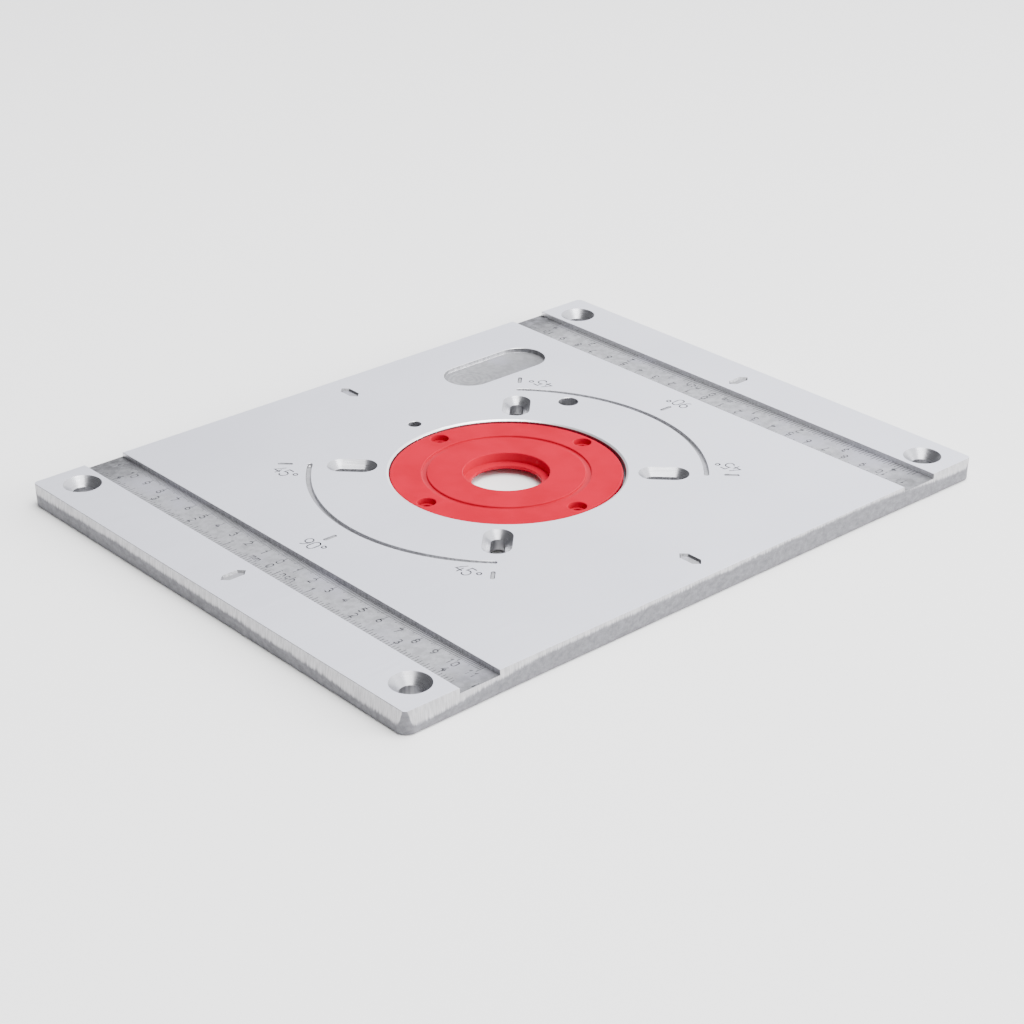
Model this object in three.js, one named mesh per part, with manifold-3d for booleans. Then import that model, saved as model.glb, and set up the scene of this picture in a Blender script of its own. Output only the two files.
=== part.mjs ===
// Router table insert plate with a lift-out reducing ring. Millimetres, +Z up.
// The origin is the centre of the underside, X runs along the long side, Y along the short side.

import * as THREE from "three";
import { mergeVertices } from "three/addons/utils/BufferGeometryUtils.js";
import Module from "manifold-3d";

const wasm = await Module();
wasm.setup();

// --- Driving dimensions: plate ---------------------------------------------------------------
const PLATE = { length: 301, width: 236, thickness: 9.5, cornerRadius: 5 };
const CAST_DRAFT = 0.2; // how far each cast side leans in at the underside
const BEVEL = { startHeight: 5, inset: 0.45 }; // milled bevel round the upper half of the sides

const CHANNEL = { centre: 116.5, width: 18.1, depth: 1.9 }; // scale channels, along Y
const CORNER_HOLE = { x: 135.6, y: 103.2, rimRadius: 7.8, radius: 4.2 };
const MARK = { x: 135.6, y: 103.3, length: 11.5, width: 4.8, depth: 0.9, floorInset: 0.7 };
const LABEL_RECESS = { x: 65.9, y: 82.8, length: 52.6, width: 22.4, depth: 2 };
const PILOT_HOLE = { x: 0, y: 59, radius: 2.8 };
const PIN_HOLE = { x: 64.2, y: 33, radius: 4.3 };
const ROUTER_SLOT = { pitchRadius: 63.2, run: 8.8, rimRadius: 5.95, radius: 2.95 };
const ARC_GROOVE = { radius: 80.4, width: 2.1, depth: 1.3, halfAngle: Math.PI / 4 };
const ROUTER_SEAT = { radius: 82.5, depth: 2.1 }; // shallow recess in the underside

// --- Driving dimensions: ring and its seat ---------------------------------------------------
const RING_BORE = { radius: 48.1, edgeWidth: 0.9, edgeDepth: 0.45 }; // opening in the plate
const RING = { radius: 47.4, sink: 0.9, flange: 3.6, height: 5.7, hubRadius: 36.9 };
const RING_OFFSET = { x: -0.2, y: 0.4 }; // the ring lies loose, a little off centre in its seat
const RING_SCREWS = { pitchRadius: 42.05, headRadius: 3.75, headDepth: 2.5, shankRadius: 2.3 };
const RING_GROOVE = { innerRadius: 32.3, outerRadius: 34.4, depth: 0.8 };
const GUIDE_BORE = { radius: 17.6, depth: 4.2, lipRadius: 14.25 }; // stepped bore of the ring
const SEAT_GAP = 0.3;
const SEAT_CLEARANCE = 0.9; // radial, between the ring's hub and the plate's lower opening
const TAPPED_RADIUS = 2.1;

// --- Faceting and cutting --------------------------------------------------------------------
const CORNER_STEPS = 6;
const SMALL_ROUND = 24;
const LARGE_ROUND = 96;
const OVERCUT = 1; // how far a cutter runs past the face it opens

const TOP = PLATE.thickness;
const RING_TOP = TOP - RING.sink;
const SEAT_HEIGHT = RING_TOP - RING.flange - SEAT_GAP;
const QUARTERS = [0, 1, 2, 3].map((quarter) => (quarter * Math.PI) / 2);
const SIGNS = [-1, 1];

// --- Solids ----------------------------------------------------------------------------------

// A closed three.js geometry as a manifold-3d solid.
function solid(geometry) {
  const bare = geometry.clone();
  bare.deleteAttribute("normal");
  bare.deleteAttribute("uv");
  const merged = mergeVertices(bare, 1e-4);
  return new wasm.Manifold(
    new wasm.Mesh({
      numProp: 3,
      vertProperties: new Float32Array(merged.attributes.position.array),
      triVerts: new Uint32Array(merged.index.array),
    }),
  );
}

// A manifold-3d solid as a three.js geometry.
function geometryOf(body) {
  const mesh = body.getMesh();
  const geometry = new THREE.BufferGeometry();
  geometry.setAttribute("position", new THREE.BufferAttribute(mesh.vertProperties, 3));
  geometry.setIndex(new THREE.BufferAttribute(mesh.triVerts, 1));
  geometry.computeVertexNormals();
  return geometry;
}

// A body skinned over outlines stacked upwards. Every outline has the same number of points.
function loft(sections) {
  const count = sections[0].outline.length;
  const positions = sections.flatMap(({ z, outline }) => outline.flatMap(({ x, y }) => [x, y, z]));
  const cap = THREE.ShapeUtils.triangulateShape(sections[0].outline, []);
  const lastRing = (sections.length - 1) * count;
  const index = [];
  for (const [a, b, c] of cap) {
    index.push(c, b, a);
    index.push(lastRing + a, lastRing + b, lastRing + c);
  }
  for (let level = 0; level < sections.length - 1; level += 1) {
    for (let i = 0; i < count; i += 1) {
      const a = level * count + i;
      const b = level * count + ((i + 1) % count);
      index.push(a, b, b + count);
      index.push(a, b + count, a + count);
    }
  }
  const geometry = new THREE.BufferGeometry();
  geometry.setAttribute("position", new THREE.Float32BufferAttribute(positions, 3));
  geometry.setIndex(index);
  return solid(geometry);
}

// A body of revolution about Z from [radius, height] points that start and end on the axis.
function turned(profile, segments) {
  const points = profile.map(([radius, height]) => new THREE.Vector2(radius, height));
  const geometry = new THREE.LatheGeometry(points, segments);
  geometry.rotateX(Math.PI / 2);
  return solid(geometry);
}

const pin = (radius, low, high, segments) =>
  turned([[0, low], [radius, low], [radius, high], [0, high]], segments);

const moved = (body, x, y) => body.translate([x, y, 0]);

const turnedBy = (body, angle) => body.rotate([0, 0, THREE.MathUtils.radToDeg(angle)]);

const joined = (bodies) => bodies.reduce((all, body) => all.add(body));

// --- Outlines, anticlockwise -----------------------------------------------------------------

function rectangle(halfX, halfY) {
  return [[-1, -1], [1, -1], [1, 1], [-1, 1]].map(([x, y]) => new THREE.Vector2(x * halfX, y * halfY));
}

function roundedRectangle(halfX, halfY, radius) {
  const outline = [];
  [[1, -1], [1, 1], [-1, 1], [-1, -1]].forEach(([x, y], corner) => {
    for (let step = 0; step <= CORNER_STEPS; step += 1) {
      const angle = ((corner - 1 + step / CORNER_STEPS) * Math.PI) / 2;
      outline.push(
        new THREE.Vector2(
          x * (halfX - radius) + radius * Math.cos(angle),
          y * (halfY - radius) + radius * Math.sin(angle),
        ),
      );
    }
  });
  return outline;
}

// A slot with round ends along X; run is the distance between the centres of the ends.
function slotOutline(run, radius) {
  const outline = [];
  for (const end of [1, -1]) {
    for (let step = 0; step <= SMALL_ROUND / 2; step += 1) {
      const angle = (end < 0 ? Math.PI / 2 : -Math.PI / 2) + (2 * Math.PI * step) / SMALL_ROUND;
      outline.push(
        new THREE.Vector2((end * run) / 2 + radius * Math.cos(angle), radius * Math.sin(angle)),
      );
    }
  }
  return outline;
}

// A long hexagon along X with square points at its ends, grown outwards by a margin.
function markOutline(margin) {
  const halfWidth = MARK.width / 2 + margin;
  const halfLength = MARK.length / 2 + margin * Math.SQRT2;
  const shoulder = halfLength - halfWidth;
  return [
    [halfLength, 0], [shoulder, halfWidth], [-shoulder, halfWidth],
    [-halfLength, 0], [-shoulder, -halfWidth], [shoulder, -halfWidth],
  ].map(([x, y]) => new THREE.Vector2(x, y));
}

// --- Plate -----------------------------------------------------------------------------------

// The casting leans out as it rises, and the milled bevel cuts it back from its start height up.
function plateBlank() {
  const halfX = PLATE.length / 2;
  const halfY = PLATE.width / 2;
  const draftSlope = CAST_DRAFT / BEVEL.startHeight;
  const castLevel = (z) => {
    const lean = (z - BEVEL.startHeight) * draftSlope;
    return { z, outline: roundedRectangle(halfX + lean, halfY + lean, PLATE.cornerRadius) };
  };
  const bevelSlope = BEVEL.inset / (TOP - BEVEL.startHeight);
  const milledLevel = (z) => {
    const lean = (BEVEL.startHeight - z) * bevelSlope;
    return { z, outline: rectangle(halfX + lean, halfY + lean) };
  };
  const casting = loft([castLevel(0), castLevel(TOP)]);
  return casting.intersect(loft([milledLevel(-OVERCUT), milledLevel(TOP + OVERCUT)]));
}

// A countersunk hole that opens upwards at 45 degrees.
function countersink({ radius, rimRadius }) {
  return turned(
    [
      [0, -OVERCUT], [radius, -OVERCUT], [radius, TOP - (rimRadius - radius)],
      [rimRadius, TOP], [rimRadius + OVERCUT, TOP + OVERCUT], [0, TOP + OVERCUT],
    ],
    SMALL_ROUND,
  );
}

function channelCutters() {
  const outline = rectangle(CHANNEL.width / 2, PLATE.width / 2 + OVERCUT);
  return SIGNS.map((side) =>
    moved(loft([{ z: TOP - CHANNEL.depth, outline }, { z: TOP + OVERCUT, outline }]), side * CHANNEL.centre, 0),
  );
}

function cornerHoleCutters() {
  const { x, y } = CORNER_HOLE;
  return SIGNS.flatMap((sideX) =>
    SIGNS.map((sideY) => moved(countersink(CORNER_HOLE), sideX * x, sideY * y)),
  );
}

function markCutters() {
  const slope = MARK.floorInset / MARK.depth;
  const cutter = loft([
    { z: TOP - MARK.depth, outline: markOutline(-MARK.floorInset) },
    { z: TOP + OVERCUT, outline: markOutline(OVERCUT * slope) },
  ]);
  return QUARTERS.map((angle, quarter) =>
    turnedBy(moved(cutter, quarter % 2 === 0 ? MARK.x : MARK.y, 0), angle),
  );
}

function labelRecessCutter() {
  const { x, y, length, width, depth } = LABEL_RECESS;
  const outline = slotOutline(length - width, width / 2);
  return moved(loft([{ z: TOP - depth, outline }, { z: TOP + OVERCUT, outline }]), x, y);
}

function routerSlotCutters() {
  const { pitchRadius, run, rimRadius, radius } = ROUTER_SLOT;
  const cutter = loft([
    { z: -OVERCUT, outline: slotOutline(run, radius) },
    { z: TOP - (rimRadius - radius), outline: slotOutline(run, radius) },
    { z: TOP, outline: slotOutline(run, rimRadius) },
    { z: TOP + OVERCUT, outline: slotOutline(run, rimRadius + OVERCUT) },
  ]);
  return QUARTERS.map((angle) => turnedBy(moved(cutter, pitchRadius, 0), angle + Math.PI / 4));
}

// One arc groove about +X or -X, with round ends.
function arcGrooveOutline() {
  const { radius, width, halfAngle } = ARC_GROOVE;
  const steps = SMALL_ROUND;
  const endSteps = SMALL_ROUND / 4;
  const outline = [];
  const addArc = (centreX, centreY, r, from, to, count) => {
    for (let step = 0; step <= count; step += 1) {
      const angle = from + ((to - from) * step) / count;
      outline.push(new THREE.Vector2(centreX + r * Math.cos(angle), centreY + r * Math.sin(angle)));
    }
  };
  const endX = radius * Math.cos(halfAngle);
  const endY = radius * Math.sin(halfAngle);
  addArc(0, 0, radius + width / 2, -halfAngle, halfAngle, steps);
  addArc(endX, endY, width / 2, halfAngle, halfAngle + Math.PI, endSteps);
  addArc(0, 0, radius - width / 2, halfAngle, -halfAngle, steps);
  addArc(endX, -endY, width / 2, Math.PI - halfAngle, 2 * Math.PI - halfAngle, endSteps);
  return outline;
}

function arcGrooveCutters() {
  const outline = arcGrooveOutline();
  const cutter = loft([{ z: TOP - ARC_GROOVE.depth, outline }, { z: TOP + OVERCUT, outline }]);
  return [cutter, turnedBy(cutter, Math.PI)];
}

// The stepped opening for the ring, with a broken top edge and four tapped holes in its ledge.
function ringSeatCutters() {
  const { radius, edgeWidth, edgeDepth } = RING_BORE;
  const slope = edgeWidth / edgeDepth;
  const opening = turned(
    [
      [0, -OVERCUT], [RING.hubRadius + SEAT_CLEARANCE, -OVERCUT], [RING.hubRadius + SEAT_CLEARANCE, SEAT_HEIGHT],
      [radius, SEAT_HEIGHT], [radius, TOP - edgeDepth], [radius + edgeWidth, TOP],
      [radius + edgeWidth + OVERCUT * slope, TOP + OVERCUT], [0, TOP + OVERCUT],
    ],
    LARGE_ROUND,
  );
  const tapped = pin(TAPPED_RADIUS, -OVERCUT, TOP, SMALL_ROUND);
  const holes = QUARTERS.map((angle) => turnedBy(moved(tapped, RING_SCREWS.pitchRadius, 0), angle));
  return [opening, ...holes.map((hole) => moved(hole, RING_OFFSET.x, RING_OFFSET.y))];
}

function plateBody() {
  const routerSeat = pin(ROUTER_SEAT.radius, -OVERCUT, ROUTER_SEAT.depth, LARGE_ROUND);
  const cutters = [
    ...channelCutters(),
    ...cornerHoleCutters(),
    ...markCutters(),
    labelRecessCutter(),
    moved(pin(PILOT_HOLE.radius, -OVERCUT, TOP + OVERCUT, SMALL_ROUND), PILOT_HOLE.x, PILOT_HOLE.y),
    moved(pin(PIN_HOLE.radius, -OVERCUT, TOP + OVERCUT, SMALL_ROUND), PIN_HOLE.x, PIN_HOLE.y),
    ...routerSlotCutters(),
    ...arcGrooveCutters(),
    ...ringSeatCutters(),
    routerSeat,
  ];
  return cutters.reduce((body, cutter) => body.subtract(cutter), plateBlank());
}

// --- Insert ring -----------------------------------------------------------------------------

// A flange that rests on the plate's ledge, and a hub that hangs into the plate's lower opening.
function ringBody() {
  const top = RING_TOP;
  const flangeBottom = RING_TOP - RING.flange;
  const hubBottom = RING_TOP - RING.height;
  const lipTop = RING_TOP - GUIDE_BORE.depth;
  const disc = turned(
    [
      [0, hubBottom], [RING.hubRadius, hubBottom], [RING.hubRadius, flangeBottom],
      [RING.radius, flangeBottom], [RING.radius, top], [0, top],
    ],
    LARGE_ROUND,
  );
  const bore = turned(
    [
      [0, -OVERCUT], [GUIDE_BORE.lipRadius, -OVERCUT], [GUIDE_BORE.lipRadius, lipTop],
      [GUIDE_BORE.radius, lipTop], [GUIDE_BORE.radius, top + OVERCUT], [0, top + OVERCUT],
    ],
    LARGE_ROUND,
  );
  const groove = pin(RING_GROOVE.outerRadius, top - RING_GROOVE.depth, top + OVERCUT, LARGE_ROUND)
    .subtract(pin(RING_GROOVE.innerRadius, -OVERCUT, TOP + OVERCUT, LARGE_ROUND));
  const { pitchRadius, headRadius, headDepth, shankRadius } = RING_SCREWS;
  const screwHole = pin(headRadius, top - headDepth, top + OVERCUT, SMALL_ROUND)
    .add(pin(shankRadius, -OVERCUT, top, SMALL_ROUND));
  const screwHoles = joined(QUARTERS.map((angle) => turnedBy(moved(screwHole, pitchRadius, 0), angle)));
  return [bore, groove, screwHoles].reduce((body, cutter) => body.subtract(cutter), disc);
}

// --- Assembly --------------------------------------------------------------------------------

const castAluminium = new THREE.MeshStandardMaterial({ color: 0xd2d4d9, metalness: 0.9, roughness: 0.45 });
const redPlastic = new THREE.MeshStandardMaterial({ color: 0xc8141e, metalness: 0, roughness: 0.3 });

const plate = new THREE.Mesh(geometryOf(plateBody()), castAluminium);
plate.name = "plate";

const insertRing = new THREE.Mesh(geometryOf(ringBody()), redPlastic);
insertRing.name = "insert_ring";
insertRing.position.set(RING_OFFSET.x, RING_OFFSET.y, 0);

const assembly = new THREE.Group();
assembly.add(plate, insertRing);

export default assembly;
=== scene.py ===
"""A milled aluminium insert plate for a router table, with its loose red reducing ring.

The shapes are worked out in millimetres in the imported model's frame: X along the long side, Z up,
the underside at zero. They are scaled to metres when a piece is finished.
"""

import math

import bpy
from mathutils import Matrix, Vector, noise


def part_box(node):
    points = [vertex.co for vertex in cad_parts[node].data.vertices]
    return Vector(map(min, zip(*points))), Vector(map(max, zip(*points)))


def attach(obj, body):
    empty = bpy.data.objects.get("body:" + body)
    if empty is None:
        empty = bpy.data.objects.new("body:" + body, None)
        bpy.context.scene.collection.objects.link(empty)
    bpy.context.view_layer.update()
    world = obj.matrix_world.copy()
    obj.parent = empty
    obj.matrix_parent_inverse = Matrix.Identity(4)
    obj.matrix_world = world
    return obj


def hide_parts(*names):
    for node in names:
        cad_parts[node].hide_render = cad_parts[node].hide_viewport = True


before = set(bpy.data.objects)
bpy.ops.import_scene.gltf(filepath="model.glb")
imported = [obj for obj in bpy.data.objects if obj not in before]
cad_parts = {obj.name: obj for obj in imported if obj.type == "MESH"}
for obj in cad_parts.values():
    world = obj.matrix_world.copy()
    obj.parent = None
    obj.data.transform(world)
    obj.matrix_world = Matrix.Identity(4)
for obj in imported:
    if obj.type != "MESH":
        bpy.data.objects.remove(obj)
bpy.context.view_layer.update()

MM = 0.001

# --- Sizes taken from the frame (mm) ---------------------------------------------------------
plate_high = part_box("plate")[1] / MM
ring_low, ring_high = (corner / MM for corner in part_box("insert_ring"))
HALF_X, HALF_Y, TOP = plate_high
RING_X, RING_Y = ((ring_low + ring_high) / 2).xy
RING_RADIUS = (ring_high.x - ring_low.x) / 2
RING_TOP = ring_high.z
RING_BOTTOM = ring_low.z

# --- Plate features (mm), as in the solid model ----------------------------------------------
CHANNEL = {"x": 116.5, "half_width": 9.05, "depth": 1.9}
CORNER_HOLE = {"x": 135.6, "y": 103.2, "radius": 4.2, "rim": 7.8}
ROUTER_SLOT = {"pitch": 63.2, "run": 8.8, "radius": 2.95, "rim": 5.95}
MARK = {"x": 135.6, "y": 103.3, "length": 11.5, "width": 4.8, "depth": 0.9, "floor_inset": 0.7}
LABEL_RECESS = {"x": 65.9, "y": 82.8, "run": 30.2, "radius": 11.2, "depth": 2.0}
LABEL_FOOT_HEIGHT = 0.4
LABEL_FOOT = ((0, 0.4), (0.12, 0.1))  # the foot of its wall: height over the floor, inset
PILOT_HOLE = {"x": 0.0, "y": 59.0, "radius": 2.8}
PIN_HOLE = {"x": 64.2, "y": 33.0, "radius": 4.3}
ARC_GROOVE = {"radius": 80.4, "half_width": 1.05, "depth": 1.3, "half_angle": math.radians(45)}
ARC_GROOVE_EDGE = {"floor_inset": 0.35, "foot": 0.3, "edge_break": 0.08}
ROUTER_SEAT = {"radius": 82.5, "depth": 2.1, "edge_break": 0.2}
BORE = {"opening": 37.8, "radius": 48.1, "edge_width": 0.9, "edge_depth": 0.45}
BORE_BLEND = {"below": 0.1, "above": 0.05}  # where the bore's wall turns into its edge
SCREW_PITCH = 42.05  # radius of the circle that the ring's screw holes lie on
TAPPED_HOLE = {"radius": 2.1, "sink": 0.4}

# --- Ring section (mm) -----------------------------------------------------------------------
RING_FLANGE = 3.6
SEAT_GAP = 0.3  # between the flange and the ledge under it
SEAT_HEIGHT = RING_TOP - RING_FLANGE - SEAT_GAP
RING_HUB = 36.9
RING_BEVEL = 0.3  # on the lower edges of the hub and the flange
RING_RIM = 0.6  # rounding of the upper rim
RING_GROOVE = {"inner": 32.3, "outer": 34.4, "depth": 0.8, "round": 0.3}
GUIDE_BORE = {"radius": 17.6, "depth": 4.2, "mouth": 0.35, "foot": 0.25}
GUIDE_LIP = {"radius": 14.25, "round": 0.3, "bevel": 0.2}
SCREW_HOLE = {"head": 3.75, "shank": 2.3, "sink": 2.5, "round": 0.25, "flare": 3}
ROUND_STEPS = ((1, 0), (0.5, 0.13), (0.13, 0.5), (0, 1))  # down and out, as shares of the rounding
BRIM = 0.15  # flat strip beside each rounded edge, which keeps the flat top flat in shading
FLAT_TOLERANCE = 1e-4  # a point this close to the top counts as on it

# --- Plate sides (mm) ------------------------------------------------------------------------
CORNER_RADIUS = 4.6
MILL_INSET = 0.81  # inset of the milled band at the top face, where it is deepest
MILL_RUN = 7.5  # height of the band there
MILL_SLOPE = MILL_INSET / MILL_RUN
MILL_TILT = 0.27  # how much less the band is inset at the other end of a side
BOW = {"x": 0.15, "y": 0.50}  # how far the cast sides draw in between the corners
BOW_REACH = (0.55, 0.985)  # it fades out between these shares of half a side
CAST_WAVE = {"depth": 0.07, "along": 16, "up": 7, "seed": 0}
CAST_RIPPLE = {"depth": 0.03, "along": 4, "up": 3, "seed": 9}
SIDE_SEED = {"x": 3, "y": 7}
CAST_DRAFT = 0.2
CAST_FOOT = 0.7  # radius of the cast edge at the underside
EDGE_BREAK = 0.12  # small chamfer round the top face and its cuts
CORNER_STEPS = 14
COLUMN_SPACING = 1.0
FOOT_ROWS = 4
SIDE_ROWS = 20

# --- Engraving (mm) --------------------------------------------------------------------------
SCALE_END = 110.0
SCALE_INSET = 0.3  # between a channel's wall and its graduations
INCH = 25.4
INCH_PARTS = 16
# Every so many divisions, the coarsest first, and the length of a graduation there
MILLIMETRE_TICKS = ((10, 4.4), (5, 3.7), (1, 3.0))
SIXTEENTH_TICKS = ((16, 5.9), (8, 5.1), (4, 4.6), (2, 4.1), (1, 3.6))
FIGURE = {"height": 3.3, "pitch": 2.8, "line": 0.52, "depth": 0.18}
LABEL = {"height": 6.0, "pitch": 4.2, "line": 0.6, "depth": 0.2}
TICK_LINE = {"width": 0.34, "depth": 0.12}
# A short cut across the -X channel's floor, close to the plate's -Y side
NICK = {"start": -119.9, "end": -116.7, "from_side": 1.2, "width": 0.55, "depth": 0.35}
CENTIMETRE_COLUMN = 114.2
INCH_COLUMN = 119.1
UNIT_WORDS = (("mm", 8.5), ("inch", -10.5))  # word and its place along Y
ANGLE_LABELS = (("90°", -99, 5.0), ("45°", -69, 62.9), ("45°", -69, -50.1))  # text, X, first Y
ANGLE_TICK = {"radius": 90.5, "run": 4.5, "half_width": 0.9, "depth": 0.3, "floor_inset": 0.35}
ANGLE_TICK_FLARE = 1.1  # how far a tick's cutter is widened at its top
ANGLE_TICK_EIGHTHS = (0, 1, 3, 4, 5, 7)  # eighths of a turn from +X that carry a tick
TICK_END_STEPS = 10

# --- Making ----------------------------------------------------------------------------------
OVERCUT = 1.0  # how far a cutter reaches past the face that it opens (mm)
CHANNEL_RUNGS = 95  # faces along a channel's floor
SMALL_ROUND = 48  # sides of a small circle
LARGE_ROUND = 192
PLATE_SHARP_ANGLE = 22  # edges that turn by more degrees than this stay sharp
RING_SHARP_ANGLE = 40


# --- Outlines: each shape is a function of how far it is grown outwards ------------------------

def circle(radius, steps=SMALL_ROUND):
    def outline(margin):
        angles = [2 * math.pi * step / steps for step in range(steps)]
        return [((radius + margin) * math.cos(a), (radius + margin) * math.sin(a)) for a in angles]
    return outline


def rectangle(half_x, half_y, rungs):
    """A rectangle with points all along its two long sides, so that its floor is a ladder of faces."""
    def outline(margin):
        x, y = half_x + margin, half_y + margin
        heights = [-y + 2 * y * rung / rungs for rung in range(rungs + 1)]
        return [(x, height) for height in heights] + [(-x, height) for height in reversed(heights)]
    return outline


def slot(run, radius, steps=SMALL_ROUND // 2):
    """A slot along X with round ends; run is the distance between the centres of its ends."""
    def outline(margin):
        points = []
        for end in (1, -1):
            for step in range(steps + 1):
                angle = -end * math.pi / 2 + math.pi * step / steps
                x, y = (radius + margin) * math.cos(angle), (radius + margin) * math.sin(angle)
                points.append((end * run / 2 + x, y))
        return points
    return outline


def pointed_mark(length, width):
    """A long hexagon along X whose ends are square points."""
    def outline(margin):
        half_width = width / 2 + margin
        tip = length / 2 + margin * math.sqrt(2)
        shoulder = tip - half_width
        upper = [(tip, 0), (shoulder, half_width), (-shoulder, half_width)]
        return upper + [(-x, -y) for x, y in upper]
    return outline


def arc_band(radius, half_width, half_angle, steps=72):
    """A band along an arc about +X, with round ends."""
    def outline(margin):
        half = half_width + margin
        points = []

        def add(cx, cy, r, start, end, count):
            for step in range(count + 1):
                angle = start + (end - start) * step / count
                points.append((cx + r * math.cos(angle), cy + r * math.sin(angle)))

        end_x, end_y = radius * math.cos(half_angle), radius * math.sin(half_angle)
        add(0, 0, radius + half, -half_angle, half_angle, steps)
        add(end_x, end_y, half, half_angle, half_angle + math.pi, 10)
        add(0, 0, radius - half, half_angle, -half_angle, steps)
        add(end_x, -end_y, half, math.pi - half_angle, 2 * math.pi - half_angle, 10)
        return points
    return outline


def placed(x=0.0, y=0.0, angle=0.0):
    """Moves a point by x, y and then turns it about Z."""
    cos, sin = math.cos(angle), math.sin(angle)

    def place(point):
        px, py, pz = point[0] + x, point[1] + y, point[2]
        return (px * cos - py * sin, px * sin + py * cos, pz)
    return place


# --- Closed bodies ---------------------------------------------------------------------------

class Bodies:
    """Closed bodies gathered in one mesh. Every face carries the finish it leaves on the piece."""

    def __init__(self):
        self.points = []
        self.faces = []
        self.finishes = []

    def skin(self, loops, bands, caps=(None, None), place=placed(), closed=False, ladder=False):
        """Joins loops of equal length, with one finish for each band between two of them.
        A ladder's caps are rungs between one half of the loop and the other."""
        count = len(loops[0])
        start = len(self.points)
        self.points += [place(point) for loop in loops for point in loop]
        faces, finishes = [], []
        for level, finish in enumerate(bands):
            below = start + level * count
            above = start + (level + 1) % len(loops) * count
            for i in range(count):
                j = (i + 1) % count
                faces.append((below + i, below + j, above + j, above + i))
                finishes.append(finish)
        if not closed:
            top = start + (len(loops) - 1) * count
            cap = [tuple(range(count))]
            if ladder:
                cap = [(i, i + 1, count - 2 - i, count - 1 - i) for i in range(count // 2 - 1)]
            faces += [tuple(start + i for i in face[::-1]) for face in cap]
            faces += [tuple(top + i for i in face) for face in cap]
            finishes += [caps[0] or bands[0]] * len(cap) + [caps[1] or bands[-1]] * len(cap)
        if self._volume(faces) < 0:
            faces = [face[::-1] for face in faces]
        self.faces += faces
        self.finishes += finishes

    def loft(self, shape, levels, bands, floor=None, place=placed(), ladder=False):
        """Levels are (height, how far the shape is grown there), from the bottom up."""
        loops = [[(x, y, z) for x, y in shape(margin)] for z, margin in levels]
        self.skin(loops, bands, (floor, None), place, ladder=ladder)

    def _volume(self, faces):
        total = 0.0
        for face in faces:
            first = Vector(self.points[face[0]])
            for second, third in zip(face[1:], face[2:]):
                total += first.dot(Vector(self.points[second]).cross(Vector(self.points[third])))
        return total

    def make(self, name):
        mesh = bpy.data.meshes.new(name)
        mesh.from_pydata(self.points, [], self.faces)
        used = sorted(set(self.finishes))
        for finish in used:
            mesh.materials.append(finish_material(finish))
        mesh.polygons.foreach_set("material_index", [used.index(finish) for finish in self.finishes])
        obj = bpy.data.objects.new(name, mesh)
        bpy.context.scene.collection.objects.link(obj)
        return obj


def subtract(obj, bodies):
    """Cuts the bodies out of the object and leaves their finishes on the cut faces."""
    cutter = bodies.make("cutter")
    modifier = obj.modifiers.new("cut", "BOOLEAN")
    modifier.operation = "DIFFERENCE"
    modifier.solver = "MANIFOLD"
    modifier.material_mode = "TRANSFER"
    modifier.object = cutter
    graph = bpy.context.evaluated_depsgraph_get()
    result = bpy.data.meshes.new_from_object(obj.evaluated_get(graph), depsgraph=graph)
    obj.modifiers.clear()
    previous = obj.data
    obj.data = result
    cutter_mesh = cutter.data
    bpy.data.objects.remove(cutter)
    bpy.data.meshes.remove(cutter_mesh)
    bpy.data.meshes.remove(previous)


def to_metres(obj, sharp_angle):
    """Scales a finished piece from millimetres and shades it smooth between its sharp edges."""
    for vertex in obj.data.vertices:
        vertex.co *= MM
    obj.data.shade_smooth()
    obj.data.set_sharp_from_angle(angle=math.radians(sharp_angle))
    obj.data.update()


# --- Plate blank: a cast outline trimmed by a milled band ------------------------------------

def smooth(low, high, value):
    """Eases from 0 to 1 as a value goes from low to high."""
    t = min(max((value - low) / (high - low), 0), 1)
    return t * t * (3 - 2 * t)


def unevenness(size, along, z, seed):
    place = Vector((along / size["along"], z / size["up"], seed + size["seed"]))
    return size["depth"] * noise.noise(place)


def cast_lean(along, half_along, z, bow, seed):
    """How far a cast side stands back from the nominal side at one point."""
    start, end = (half_along * share for share in BOW_REACH)
    drawn_in = bow * (1 - smooth(start, end, abs(along)))
    draft = CAST_DRAFT * (1 - z / TOP)
    foot = 0.0
    if z < CAST_FOOT:
        foot = CAST_FOOT - math.sqrt(CAST_FOOT ** 2 - (CAST_FOOT - z) ** 2)
    wave = unevenness(CAST_WAVE, along, z, seed)
    ripple = unevenness(CAST_RIPPLE, along, z, seed)
    return max(drawn_in + draft + foot + wave + ripple, 0)


def lean_at(x, y, z):
    """The cast surface's setback in X and in Y at a point of the outline."""
    lean_x = cast_lean(y, HALF_Y, z, BOW["x"], math.copysign(SIDE_SEED["x"], x))
    lean_y = cast_lean(x, HALF_X, z, BOW["y"], math.copysign(SIDE_SEED["y"], y))
    return lean_x, lean_y


def mill_limit(half, z, share):
    """The half size that the milled band leaves at a height, at a share of the way along the side."""
    break_inset = max(z - (TOP - EDGE_BREAK), 0)
    return half - MILL_INSET + MILL_TILT * share + (TOP - z) * MILL_SLOPE - break_inset


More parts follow.
